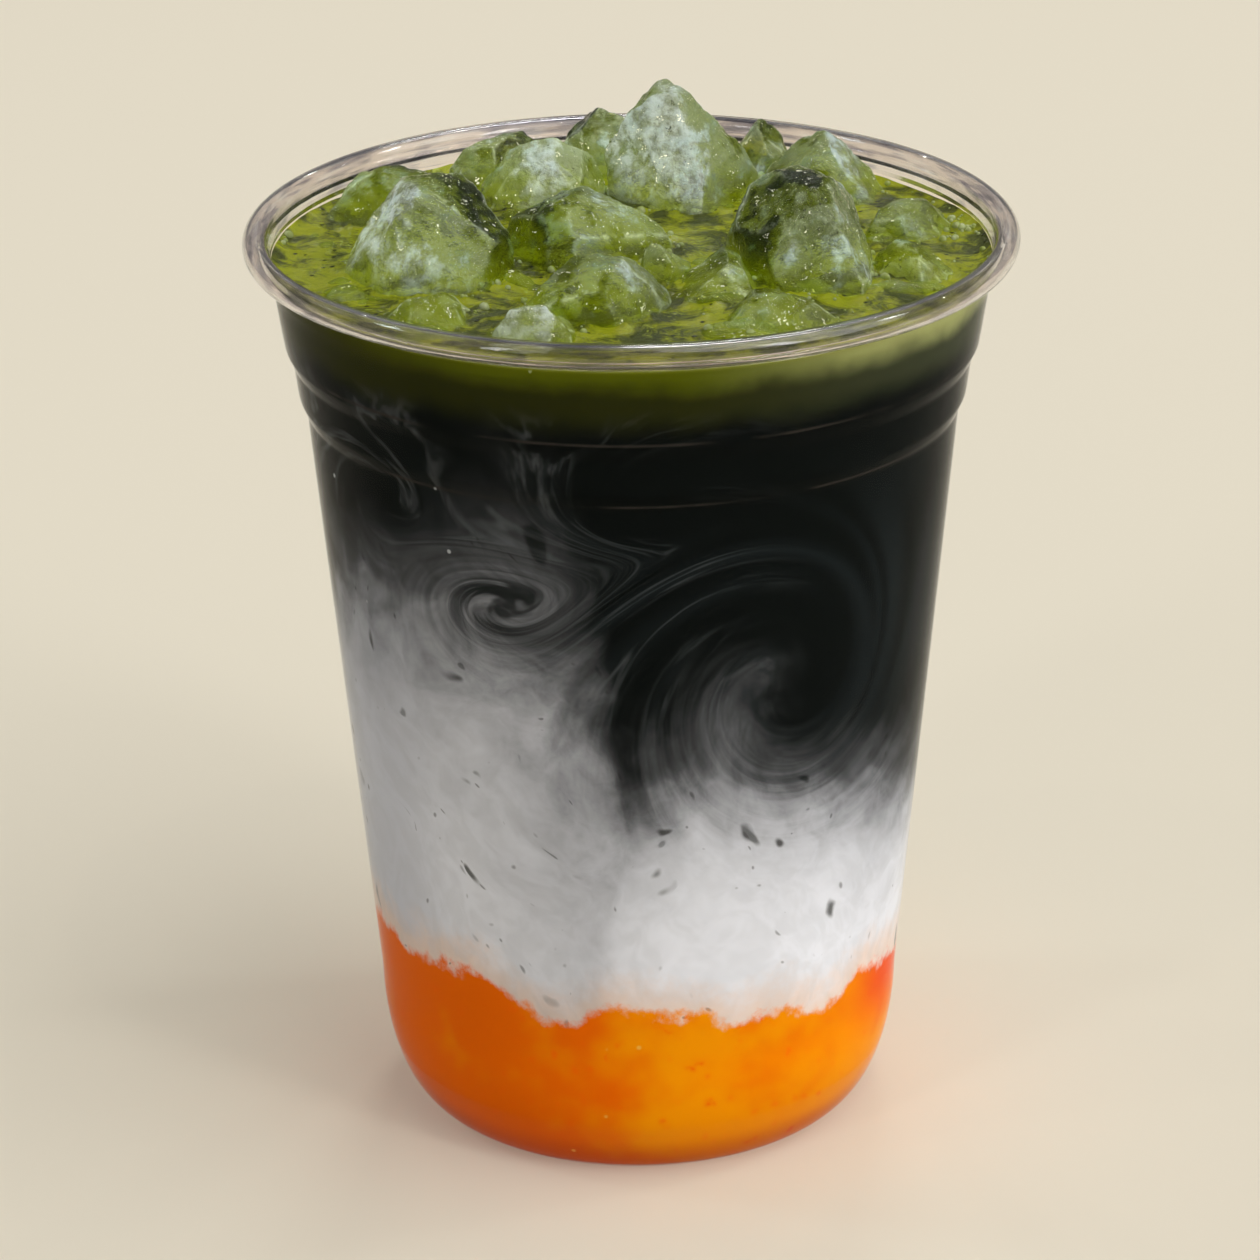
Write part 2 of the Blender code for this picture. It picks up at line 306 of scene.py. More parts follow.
def clear_sheet(name, ior, tint):
    """Clear plastic that refracts what is behind it and lets lamps shine straight through."""
    material, tree, shader = new_material(name, Transmission_Weight=1.0, IOR=ior)
    place = millimetres(tree)
    faint, _ = noise(tree, place, 0.06, 0.0)
    sheet_tint = blended(tree, faint, tint, (0.985, 0.985, 0.98))
    height = parts_of(tree, place)[2]
    # Above the drink the sheet is tinted pinkish: painted reflection of the warm surroundings in the neck.
    sheet_tint = blended(tree, ramp(tree, height, 115.0, 116.2), sheet_tint, (0.93, 0.86, 0.82))
    tree.links.new(sheet_tint, shader.inputs["Base Color"])
    tree.links.new(ramp_to(tree, faint, 0.015, 0.05), shader.inputs["Roughness"])
    lamps_shine_through(tree, shader)
    return material


def rolled_sheet(name):
    """The rolled bead: clear plastic with grey and pinkish streaks round it, painted reflection of its
    surroundings in the curl, from noise over places whose radius is evened out, so that it is drawn long
    round the mouth and fine across."""
    material, tree, shader = new_material(name, Transmission_Weight=1.0, IOR=1.46)
    at = parts_of(tree, millimetres(tree))
    flat = put(tree, "ShaderNodeCombineXYZ", {0: at[0], 1: at[1]}).outputs[0]
    round_place = scaled(tree, vector_calc(tree, "NORMALIZE", flat), 4.5)
    across = plus(tree, at[2], vector_calc(tree, "LENGTH", flat))
    lifted = put(tree, "ShaderNodeCombineXYZ", {2: times(tree, across, 0.9)}).outputs[0]
    streaks, _ = noise(tree, vector_calc(tree, "ADD", round_place, lifted), 1.0, 2.0, 0.6)
    # Grey and pinkish tints of the streaks: painted reflection.
    tint = blended(tree, ramp(tree, streaks, 0.36, 0.48), (0.52, 0.50, 0.55), (0.93, 0.88, 0.86))
    tint = blended(tree, ramp(tree, streaks, 0.56, 0.68), tint, (0.99, 0.99, 1.0))
    tree.links.new(tint, shader.inputs["Base Color"])
    tree.links.new(ramp_to(tree, streaks, 0.02, 0.10), shader.inputs["Roughness"])
    bumped(tree, shader, streaks, 0.10, 0.0003)
    lamps_shine_through(tree, shader)
    return material


wall = outer_wall()
sheet = SHEET + FOOT_EXTRA * foot_share(wall[:, 1]) * (wall[:, 0] > FOOT_INNER)
inside = wall + normals_of(wall) * sheet[:, None]
inside[0, 0] = 0.0
roll = np.vstack([arc(180.0, ROLL_END, RIM_HALF[0] - SHEET, RIM_HALF[1] - SHEET),
                  arc(ROLL_END, 180.0, *RIM_HALF)])
section = np.vstack([wall, roll, inside[::-1]])
cup_rows = thinned(section)
cup_rows[0] = section[0]
cup_rows[-1] = section[-1]
cup = turned("clear_cup", cup_rows, CUP_TURNS,
             [clear_sheet("clear_wall", 1.07, (0.97, 0.975, 0.97)), rolled_sheet("clear_rolled_rim"),
              clear_sheet("clear_foot", 1.14, (0.98, 0.96, 0.94))])
heights = np.array([face.center.z for face in cup.data.polygons]) / MM
cup.data.polygons.foreach_set("material_index", (heights > ROLL_FROM) + 2 * (heights < FOOT_UP_TO))
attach(cup, "root")
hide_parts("cup")


# Poured drink
# Fruit puree goes in first, then milk, then the dark tea and the matcha. They are poured against the
# wall, so the milk is banked up on the left and drawn into two slow eddies by the tea. Each layer
# is one body that reaches just into the plastic, so that no air shows between them.
DRINK_TURNS = 224
INTO_WALL = 0.30
LIQUID_LEVEL = 114.9
STEP_REFLECTION_HEIGHTS = (106.0, 97.3)
FRUIT_LEVEL = 24.6
FRUIT_FALL = 3.1
FRUIT_RADIUS = 34.0
# Tongues of the fruit: height, number round the cup and start in radians
FRUIT_TONGUES = ((1.1, 7.0, 0.6), (0.8, 11.0, 2.1), (0.5, 17.0, 4.0))
MILK_RADIUS = 38.0
MILK_LEVEL = 66.0
MILK_BANK = 17.0
MILK_LEAN = math.radians(6.0)
MILK_FRONT_RISE = 7.0
TEA_RADIUS = 44.0
TEA_LEVEL = 105.6
MATCHA_RADIUS = 45.4


def fruit_top(x, y):
    """Height of the fruit: a plane that falls to the right, with tongues of three wavelengths."""
    turn = np.arctan2(x, -y)
    reach = np.clip(np.hypot(x, y) / FRUIT_RADIUS, 0.0, 1.0)
    tongues = sum(swing * np.sin(waves * turn + start) for swing, waves, start in FRUIT_TONGUES)
    return FRUIT_LEVEL - FRUIT_FALL * x / FRUIT_RADIUS + tongues * reach ** 2


def milk_top(x, y):
    """Height of the milk: a bank on the left that falls as a hyperbolic tangent across the cup."""
    across = (x * math.cos(MILK_LEAN) - y * math.sin(MILK_LEAN)) / MILK_RADIUS
    turn = np.arctan2(x, -y)
    reach = np.clip(np.hypot(x, y) / MILK_RADIUS, 0.0, 1.0)
    billows = 1.6 * np.sin(6.0 * turn + 1.0) + 1.0 * np.sin(13.0 * turn + 3.0)
    bank = MILK_LEVEL - MILK_BANK * np.tanh(5.0 * across)
    return bank - MILK_FRONT_RISE * y / MILK_RADIUS + billows * reach ** 2


def tea_top(x, y):
    """Height of the tea: nearly level, with nine low waves."""
    turn = np.arctan2(x, -y)
    reach = np.clip(np.hypot(x, y) / TEA_RADIUS, 0.0, 1.0)
    return TEA_LEVEL + 1.3 * x / TEA_RADIUS + 0.4 * np.sin(9.0 * turn) * reach ** 2


ice_names = sorted(name for name in frame["nodes"] if name.startswith("ice_"))
ice_rim = []
for ice_name in ice_names:
    source = bpy.data.objects[ice_name].data
    spots = np.empty(len(source.vertices) * 3)
    source.vertices.foreach_get("co", spots)
    spots = spots.reshape(-1, 3) / MM
    ice_rim.append(spots[np.abs(spots[:, 2] - LIQUID_LEVEL) < 2.2])
ice_rim = np.vstack(ice_rim)


def matcha_top(x, y):
    """Height of the surface: slow waves, small ripples, and a meniscus that climbs the wall, more at
    the front, and the ice, falling off exponentially with the distance to them."""
    waves = 0.22 * np.sin(0.16 * x + 1.0) * np.sin(0.13 * y + 0.4)
    ripples = 0.05 * np.sin(0.9 * x + 0.7 * y + 2.0 * np.sin(0.31 * y)) * np.sin(0.8 * y - 0.5 * x)
    spots = np.column_stack([np.ravel(x), np.ravel(y)])
    gap = np.full(len(spots), 99.0)
    for part in np.array_split(ice_rim[:, :2], 12):
        far = np.hypot(spots[:, None, 0] - part[None, :, 0], spots[:, None, 1] - part[None, :, 1])
        gap = np.minimum(gap, far.min(axis=1))
    gap = gap.reshape(np.shape(x))
    wall_gap = np.clip(MATCHA_RADIUS - np.hypot(x, y), 0.0, None)
    front = np.clip(0.5 - 0.5 * y / np.maximum(np.hypot(x, y), 1.0), 0.0, 1.0) ** 2
    climb = 0.75 + front * (1.15 + 0.22 * np.sin(0.55 * x) + 0.12 * np.sin(1.3 * x + 1.0))
    return LIQUID_LEVEL + waves + ripples + 0.7 * np.exp(-gap / 1.1) + climb * np.exp(-wall_gap / 0.7)


side = wall + normals_of(wall) * (INTO_WALL + FOOT_EXTRA * foot_share(wall[:, 1])
                                  * (wall[:, 0] > FOOT_INNER))[:, None]
side[0, 0] = 0.0
side = np.vstack([side, side[-1] + [0.1, 1.2]])
side_run = np.concatenate([[0.0], np.cumsum(np.hypot(*np.diff(side, axis=0).T))])
upright = np.argmax(side[:, 0] > FOOT_OUTER)


def run_at(height):
    """How far along the drink's side a height is."""
    return np.interp(height, side[upright:, 1], side_run[upright:])


def meets_wall(surface, turn):
    """Run along the side where a height field meets it, at each turn, by repeated substitution."""
    radius = np.full_like(turn, MILK_RADIUS)
    for _ in range(12):
        run = run_at(surface(radius * np.sin(turn), -radius * np.cos(turn)))
        radius = np.interp(run, side_run, side[:, 0])
    return run


def spread(surface, run, turn, shares):
    """Rows of a height field from the wall towards the axis, at shares of the wall's radius."""
    radius = np.interp(run, side_run, side[:, 0])[None, :] * shares[:, None]
    x = radius * np.sin(turn)
    y = -radius * np.cos(turn)
    height = surface(x, y)
    return np.stack([x, y, height], axis=-1)


def poured(name, lower, upper, rows, rings, materials):
    """A layer: out along its lower surface, up the side between the two, and in along its top."""
    turn = np.arange(DRINK_TURNS) * math.tau / DRINK_TURNS
    top_run = meets_wall(upper, turn)
    low_run = np.full_like(turn, side_run[1]) if lower is None else meets_wall(lower, turn)
    share = np.linspace(0.0, 1.0, rows)[:, None]
    run = low_run + (top_run - low_run) * share
    radius = np.interp(run, side_run, side[:, 0])
    up = np.stack([radius * np.sin(turn), -radius * np.cos(turn), np.interp(run, side_run, side[:, 1])],
                  axis=-1)
    inward = np.linspace(1.0, 0.0, rings + 2)[1:-1]
    top = spread(upper, top_run, turn, inward)
    floor = np.zeros((0, DRINK_TURNS, 3)) if lower is None else spread(lower, low_run, turn, inward[::-1])
    middle = np.zeros(1)
    low_end = side[0, 1] if lower is None else lower(middle, middle)[0]
    ends = np.array([[0.0, 0.0, low_end], [0.0, 0.0, upper(middle, middle)[0]]])
    body = grid_body(name, np.concatenate([floor, up, top]), ends, materials)
    first_top = (len(floor) + rows - 1) * DRINK_TURNS
    return body, first_top


def group(name, inputs, outputs):
    """An empty shader node group with named sockets."""
    tree = bpy.data.node_groups.new(name, "ShaderNodeTree")
    for socket, kind in inputs.items():
        tree.interface.new_socket(socket, in_out="INPUT", socket_type="NodeSocket" + kind)
    for socket, kind in outputs.items():
        tree.interface.new_socket(socket, in_out="OUTPUT", socket_type="NodeSocket" + kind)
    return tree, tree.nodes.new("NodeGroupInput").outputs, tree.nodes.new("NodeGroupOutput").inputs


def placed_group(tree, used, inputs=None):
    """A node group put into a material, with its own values."""
    return put(tree, "ShaderNodeGroup", inputs, node_tree=used)


def stirring():
    """Turns a place about an eddy's middle and draws it out from there, less and less with distance,
    so that what lies round the eddy is wound into it."""
    tree, given, result = group("eddy", {"Vector": "Vector", "Middle": "Vector", "Axis": "Vector",
                                         "Turn": "Float", "Reach": "Float", "Stretch": "Vector",
                                         "Draw": "Float"},
                                {"Vector": "Vector", "Share": "Float"})
    apart = vector_calc(tree, "SUBTRACT", given["Vector"], given["Middle"])
    flat = vector_calc(tree, "MULTIPLY", apart, given["Stretch"])
    far = calc(tree, "DIVIDE", vector_calc(tree, "LENGTH", flat), given["Reach"])
    fall = calc(tree, "EXPONENT", times(tree, times(tree, far, far), -1.0))
    turn = put(tree, "ShaderNodeVectorRotate", {"Vector": flat, "Axis": given["Axis"],
                                                "Angle": times(tree, given["Turn"], fall)},
               rotation_type="AXIS_ANGLE")
    wider = line(tree, given["Draw"], fall, 1.0)
    back = vector_calc(tree, "DIVIDE", scaled(tree, turn.outputs[0], wider), given["Stretch"])
    tree.links.new(vector_calc(tree, "ADD", back, given["Middle"]), result["Vector"])
    tree.links.new(fall, result["Share"])
    return tree


# Eddies: middle and, for the milk's edge and for the threads, turn in radians and reach in mm; then
# height stretch, inflow and how much they thin the milk
EDDIES = (((18.2, -35.0, 71.0), (1.4, 5.5), (9.0, 15.0), 0.95, 0.30, 0.0),
          ((-15.8, -37.1, 82.2), (2.4, 6.6), (6.5, 9.5), 1.6, 0.30, 0.0),
          ((-31.0, -27.0, 93.0), (1.6, 3.5), (6.0, 8.0), 1.3, 0.3, 0.3),
          ((3.0, -42.0, 93.0), (-1.2, -3.5), (7.0, 11.0), 1.0, 0.4, 0.3),
          ((-24.0, 31.0, 78.0), (2.6, 6.0), (8.0, 13.0), 1.0, 0.4, 0.2),
          ((21.0, 34.0, 72.0), (-1.8, -5.0), (8.0, 13.0), 1.1, 0.4, 0.2))


def stirred(tree, eddy, place, winding):
    """A place carried through all the eddies, by the slow (0) or the fast (1) winding, with each
    one's hold on the place."""
    holds = []
    for middle, turns, reaches, stretch, draw, _ in EDDIES:
        axis = tuple(Vector((middle[0], middle[1], 0.0)).normalized())
        made = placed_group(tree, eddy, {"Vector": place, "Middle": middle, "Axis": axis,
                                         "Turn": turns[winding], "Reach": reaches[winding],
                                         "Stretch": (1.0, 1.0, stretch), "Draw": draw}).outputs
        place = made["Vector"]
        holds.append(made["Share"])
    return place, holds


def jostled(tree, place, scale, distance, detail=0.0):
    """A place moved by cloud noise of a scale, by up to half a distance."""
    _, drift = noise(tree, place, scale, detail)
    drift = vector_calc(tree, "SUBTRACT", drift, (0.5, 0.5, 0.5))
    return vector_calc(tree, "ADD", place, scaled(tree, drift, distance))


def cells(tree, vector, scale):
    """Points strewn at a scale for each mm: the distance to the nearest, and its own three chances."""
    cell = put(tree, "ShaderNodeTexVoronoi", {"Vector": vector, "Scale": scale})
    chances = put(tree, "ShaderNodeSeparateColor", {0: cell.outputs["Color"]}).outputs
    return cell.outputs["Distance"], chances


def curve_over(tree, value, points):
    """A smooth curve through given points, over values from -1 to 1."""
    node = put(tree, "ShaderNodeFloatCurve", {"Value": line(tree, value, 0.5, 0.5)})
    curve = node.mapping.curves[0]
    curve.points[0].location = (0.0, points[0][1])
    curve.points[1].location = (1.0, points[-1][1])
    for place, height in points[1:-1]:
        curve.points.new(0.5 + 0.5 * place, height)
    node.mapping.update()
    return node.outputs[0]


def layered_colours():
    """Colour of the poured drink at any place: the heights of the layers, read where the eddies and
    two sizes of turbulence carry the place to, with pulp in the milk and bubbles in the fruit."""
    eddy = stirring()
    tree, _, result = group("poured_layers", {}, {"Color": "Color"})
    place = millimetres(tree)
    gentle, _ = stirred(tree, eddy, place, 0)
    wound, holds = stirred(tree, eddy, place, 1)
    moved = jostled(tree, jostled(tree, gentle, 0.05, 9.0), 0.17, 6.0, 1.0)
    wound = jostled(tree, wound, 0.06, 11.0)
    thinned_milk = 1.0
    for hold, eddy_row in zip(holds, EDDIES):
        thinned_milk = times(tree, thinned_milk, line(tree, hold, -eddy_row[5], 1.0))
    at = parts_of(tree, moved)
    here = parts_of(tree, place)

    # Depth under the milk's top, in mm
    across = plus(tree, times(tree, at[0], math.cos(MILK_LEAN) / MILK_RADIUS),
                  times(tree, at[1], -math.sin(MILK_LEAN) / MILK_RADIUS))
    bank = curve_over(tree, across, ((-1.0, 0.76), (-0.8, 0.77), (-0.48, 0.70), (-0.30, 0.58),
                                     (-0.15, 0.38), (0.05, 0.24), (0.25, 0.32), (0.45, 0.32),
                                     (0.8, 0.23), (1.0, 0.20)))
    haze = curve_over(tree, across, ((-1.0, 0.30), (-0.8, 0.32), (-0.48, 0.60), (-0.15, 0.95),
                                     (0.0, 0.55), (0.07, 0.32), (0.45, 0.32), (1.0, 0.26)))
    sloped = line(tree, at[1], -MILK_FRONT_RISE / MILK_RADIUS, 33.0)
    top = line(tree, bank, 50.0, sloped)
    depth = calc(tree, "DIVIDE", minus(tree, top, at[2]), haze)
    depth = line(tree, depth, 0.7, 14.0)
    thick, _ = noise(tree, moved, 0.20, 4.0, 0.62)
    streak, _ = noise(tree, wound, 0.14, 3.0, 0.62)
    uneven = plus(tree, line(tree, thick, 20.0, -10.0), line(tree, streak, 15.0, -7.5))
    depth = plus(tree, depth, uneven)
    milkiness = curve_over(tree, line(tree, depth, 1.0 / 42.0, -18.0 / 42.0),
                           ((-1.0, 0.0), (-0.83, 0.008), (-0.67, 0.03), (-0.55, 0.055), (-0.43, 0.10),
                            (-0.26, 0.25), (-0.10, 0.42), (0.16, 0.65), (0.6, 0.86), (1.0, 0.96)))
    milkiness = times(tree, milkiness, thinned_milk)
    lower_down = ramp_to(tree, ramp(tree, here[2], 103.0, 87.0), 0.22, 1.0)
    milkiness = times(tree, milkiness, lower_down)

    # Dark crescents wound into the milk at the left-hand eddy
    ring, _ = noise(tree, wound, 0.17, 2.0)
    ring = ramp(tree, ring, 0.60, 0.46)
    core = ramp(tree, holds[1], 0.30, 0.80)
    milkiness = times(tree, milkiness, line(tree, times(tree, ring, core), -0.93, 1.0))

    # Thin grey wisps drawn into the tea
    wisp, _ = noise(tree, wound, 0.115, 3.0, 0.5)
    cloud, _ = noise(tree, wound, 0.055, 1.0)
    thread = calc(tree, "ABSOLUTE", minus(tree, wisp, 0.5))
    thread = times(tree, ramp(tree, thread, 0.075, 0.0), ramp(tree, cloud, 0.38, 0.60))
    hair, _ = noise(tree, wound, 0.45, 2.0, 0.6)
    thread = times(tree, thread, ramp_to(tree, ramp(tree, hair, 0.32, 0.68), 0.15, 1.0))
    thread = times(tree, thread, ramp(tree, across, 0.75, 0.15))
    smoke = times(tree, ramp(tree, cloud, 0.40, 0.75), ramp(tree, here[2], 108.0, 82.0))
    near_milk = times(tree, ramp(tree, depth, -36.0, -8.0), ramp(tree, streak, 0.30, 0.62))
    near_milk = times(tree, near_milk, ramp(tree, here[2], 94.0, 76.0))
    tea = blended(tree, smoke, (0.0045, 0.0058, 0.0052), (0.0115, 0.0148, 0.0155))
    tea = blended(tree, near_milk, tea, (0.021, 0.023, 0.023))
    tea = blended(tree, times(tree, thread, 0.8), tea, (0.064, 0.070, 0.071))

    # Height over the fruit's top, with a ragged edge. The folded turn runs from the left to the right
    # side and back again round the cup, so that the front's colours meet at the back without a seam
    turn = calc(tree, "ARCTAN2", here[0], times(tree, here[1], -1.0))
    folded = calc(tree, "ARCSINE", calc(tree, "SINE", turn))
    edge = times(tree, here[0], -FRUIT_FALL / FRUIT_RADIUS)
    for swing, waves, start in FRUIT_TONGUES:
        phase = line(tree, turn, waves, start)
        edge = line(tree, calc(tree, "SINE", phase), swing, edge)
    rag, _ = noise(tree, place, 0.21, 5.0, 0.66)
    rag = times(tree, minus(tree, rag, 0.5), 8.0)
    over = minus(tree, minus(tree, here[2], FRUIT_LEVEL), edge)
    over = plus(tree, over, rag)
    warm = ramp(tree, over, 7.5, 0.5)
    # The milk is painted greyer on the left side: painted shade.
    milk = blended(tree, ramp(tree, folded, -1.05, -0.55), (0.66, 0.67, 0.73), (0.89, 0.90, 0.96))
    milk = blended(tree, times(tree, warm, 0.75), milk, (0.90, 0.66, 0.52))

    # Pulp and seeds as slanting specks in the milk
    slant = put(tree, "ShaderNodeVectorRotate", {"Vector": moved, "Axis": (0.0, 1.0, 0.0), "Angle": 0.7},
                rotation_type="AXIS_ANGLE").outputs[0]
    slant = vector_calc(tree, "MULTIPLY", slant, (1.0, 1.0, 0.5))
    dappled, _ = noise(tree, slant, 0.33, 2.0, 0.6)
    greyer = ramp_to(tree, ramp(tree, dappled, 0.35, 0.65), 0.16, 0.0)
    milk = blended(tree, greyer, milk, (0.45, 0.45, 0.45))
    for scale, share, least, most, dark in ((0.20, 0.62, 0.08, 0.30, 0.92), (0.6, 0.70, 0.10, 0.30, 0.6)):
        distance, pick = cells(tree, slant, scale)
        size = ramp_to(tree, pick[1], least, most)
        depth_in = minus(tree, 1.0, calc(tree, "DIVIDE", distance, size))
        depth_in = plus(tree, depth_in, line(tree, dappled, 1.2, -0.6))
        spot = times(tree, ramp(tree, depth_in, 0.0, 0.6), ramp(tree, pick[0], share, share + 0.15))
        milk = blended(tree, times(tree, spot, dark), milk, (0.10, 0.098, 0.092))
    pour = blended(tree, milkiness, tea, milk)

    # Fruit: mottled orange, deeper near the foot, with light bubbles and a few dark bits
    mottle, _ = noise(tree, place, 0.09, 3.0, 0.5)
    grainy, _ = noise(tree, place, 0.5, 3.0, 0.6)
    # The fruit is painted lighter towards the right side and deeper towards the left: painted light and
    # shade over its mottle.
    side_lit_mottle = plus(tree, mottle, ramp_to(tree, ramp(tree, folded, -0.7, 0.5), -0.16, 0.16))
    fruit = blended(tree, ramp(tree, side_lit_mottle, 0.35, 0.72), (0.90, 0.150, 0.001), (1.0, 0.33, 0.001))
    fruit = blended(tree, ramp(tree, grainy, 0.60, 0.75), fruit, (0.95, 0.14, 0.002))
    redder = times(tree, ramp(tree, folded, 0.75, 1.2), ramp(tree, here[2], 10.0, 20.0))
    fruit = blended(tree, redder, fruit, (0.90, 0.085, 0.002))
    fruit = blended(tree, times(tree, ramp(tree, here[2], 6.5, 2.5), 0.55), fruit,
                    (0.62, 0.075, 0.002))
    dot_distance, chosen = cells(tree, place, 0.24)
    round_dot = ramp(tree, dot_distance, 0.11, 0.05)
    pale = times(tree, round_dot, calc(tree, "GREATER_THAN", chosen[0], 0.80))
    dark = times(tree, round_dot, calc(tree, "LESS_THAN", chosen[0], 0.06))
    fruit = blended(tree, times(tree, pale, 0.7), fruit, (1.0, 0.55, 0.10))
    fruit = blended(tree, times(tree, dark, 0.8), fruit, (0.35, 0.03, 0.002))
    pour = blended(tree, ramp(tree, over, -0.8, 1.2), fruit, pour)

    # Matcha sinking into the tea from the surface
    stain, _ = noise(tree, place, 0.11, 3.0, 0.6)
    level = plus(tree, here[2], times(tree, minus(tree, stain, 0.5), 4.0))
    # The matcha band is painted darker on the left side and paler on the right: painted shade and light on
    # its green.
    left = ramp(tree, folded, -1.0, -0.2)
    right = ramp(tree, folded, 0.1, 0.9)
    bright = blended(tree, left, (0.038, 0.040, 0.003), (0.100, 0.120, 0.004))
    bright = blended(tree, right, bright, (0.38, 0.40, 0.15))
    olive = blended(tree, right, (0.024, 0.026, 0.005), (0.042, 0.048, 0.024))
    sunk = blended(tree, ramp(tree, level, 111.6, 115.6), olive, bright)
    sunk = blended(tree, ramp(tree, here[2], 115.4, 116.7), sunk, (0.41, 0.47, 0.05))
    # Thin tan lines near the cup's two steps: painted reflection of the step edges.
    for step_line in STEP_REFLECTION_HEIGHTS:
        step_reflection = ramp(tree, calc(tree, "ABSOLUTE", minus(tree, here[2], step_line)), 0.30, 0.05)
        pour = blended(tree, times(tree, step_reflection, ramp(tree, stain, 0.35, 0.65)), pour,
                       (0.034, 0.029, 0.024))
    # Small grey dots in the tea above 62 mm: painted glints.
    bead = times(tree, ramp(tree, dot_distance, 0.085, 0.045),
                 calc(tree, "GREATER_THAN", chosen[1], 0.88))
    pour = blended(tree, times(tree, bead, ramp(tree, here[2], 62.0, 80.0)), pour,
                   (0.45, 0.46, 0.46))
    tree.links.new(blended(tree, ramp(tree, level, 106.5, 111.0), pour, sunk), result["Color"])
    return tree


poured_layers = layered_colours()


def drink_side(name):
    """The drink where it wets the wall: colour alone, because the plastic carries the shine."""
    material, tree, shader = new_material(name, Roughness=0.6, Specular_IOR_Level=0.0)
    tree.links.new(placed_group(tree, poured_layers).outputs[0], shader.inputs["Base Color"])
    return material


def wet_surface(name):
    """The drink's open surface: bright yellow-green matcha with olive pools, froth and dark grains."""
    material, tree, shader = new_material(name, IOR=1.36)
    place = millimetres(tree)
    moved = jostled(tree, place, 0.12, 9.0, 2.0)
    patch, _ = noise(tree, moved, 0.14, 5.0, 0.65)
    colour = blended(tree, ramp(tree, patch, 0.40, 0.58), (0.050, 0.060, 0.004), (0.30, 0.33, 0.006))
    froth, _ = noise(tree, moved, 0.35, 5.0, 0.7)
    colour = blended(tree, ramp(tree, froth, 0.58, 0.75), colour, (0.42, 0.50, 0.06))
    distance, pick = cells(tree, place, 0.8)
    grain = times(tree, ramp(tree, distance, 0.30, 0.12), calc(tree, "GREATER_THAN", pick[0], 0.78))
    colour = blended(tree, grain, colour, (0.012, 0.016, 0.004))
    tree.links.new(colour, shader.inputs["Base Color"])
    tree.links.new(ramp_to(tree, froth, 0.04, 0.25), shader.inputs["Roughness"])
    relief = plus(tree, froth, times(tree, grain, 0.6))
    bumped(tree, shader, relief, 0.8, 0.0009)
    return material


LAYERS = (("orange_fruit_base", None, fruit_top, 70, 10, "fruit_base", "orange_fruit"),
          ("banked_milk", fruit_top, milk_top, 60, 10, "milk_layer", "cold_milk"),
          ("dark_tea_body", milk_top, tea_top, 90, 10, "tea_layer", "dark_tea"),
          ("matcha_body", tea_top, matcha_top, 40, 110, "matcha_layer", "green_matcha"))
for name, lower, upper, rows, rings, node, slot in LAYERS:
    skins = [drink_side(slot + "_side")]
    if node == "matcha_layer":
        skins.append(wet_surface("matcha_open_surface"))
    body, first_top = poured(name, lower, upper, rows, rings, skins)
    if node == "matcha_layer":
        corners = np.empty(len(body.data.loops), dtype=int)
        body.data.loops.foreach_get("vertex_index", corners)
        starts = np.array([face.loop_start for face in body.data.polygons])
        body.data.polygons.foreach_set("material_index", (corners[starts] >= first_top).astype(int))
    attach(body, "root")
    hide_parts(node)


# Melting ice
# Lumps of clouded ice float with their tops above the rim. Melting has rounded their edges and
# dimpled their faces, and the matcha wets and tints them from below.
ICE_SWELL = 0.8
ICE_CUTS = 8
EDGE_SHARPNESS = 60.0


def icosphere(steps):
    """Points and triangles of a ball of radius 1: an icosahedron whose faces are halved in steps."""
    ball = bmesh.new()
    bmesh.ops.create_icosphere(ball, subdivisions=steps, radius=1.0)
    points = np.array([tuple(v.co) for v in ball.verts])
    faces = np.array([[v.index for v in face.verts] for face in ball.faces])
    ball.free()
    return points / np.linalg.norm(points, axis=1)[:, None], faces


def joined_mesh(name, copies, faces):
    """Copies of one shape, in mm, as one mesh: each copy's faces count on from the last one's points."""
    count, points = copies.shape[:2]
    numbered = faces[None, :, :] + (np.arange(count) * points)[:, None, None]
    mesh = bpy.data.meshes.new(name)
    mesh.from_pydata((copies.reshape(-1, 3) * MM).tolist(), [], numbered.reshape(-1, 3).tolist())
    mesh.shade_smooth()
    return mesh


def waves_noise(places, size, seed, count=28):
    """Smooth noise over places in mm: a sum of sine waves of random headings near one length."""
    draw = np.random.default_rng(seed)
    heading = draw.normal(size=(count, 3))
    heading /= np.linalg.norm(heading, axis=1)[:, None]
    pitch = math.tau / (size * draw.uniform(0.7, 1.5, count))
    phase = draw.uniform(0.0, math.tau, count)
    return np.sin(places @ (heading * pitch[:, None]).T + phase).sum(axis=1) / math.sqrt(count / 2.0)


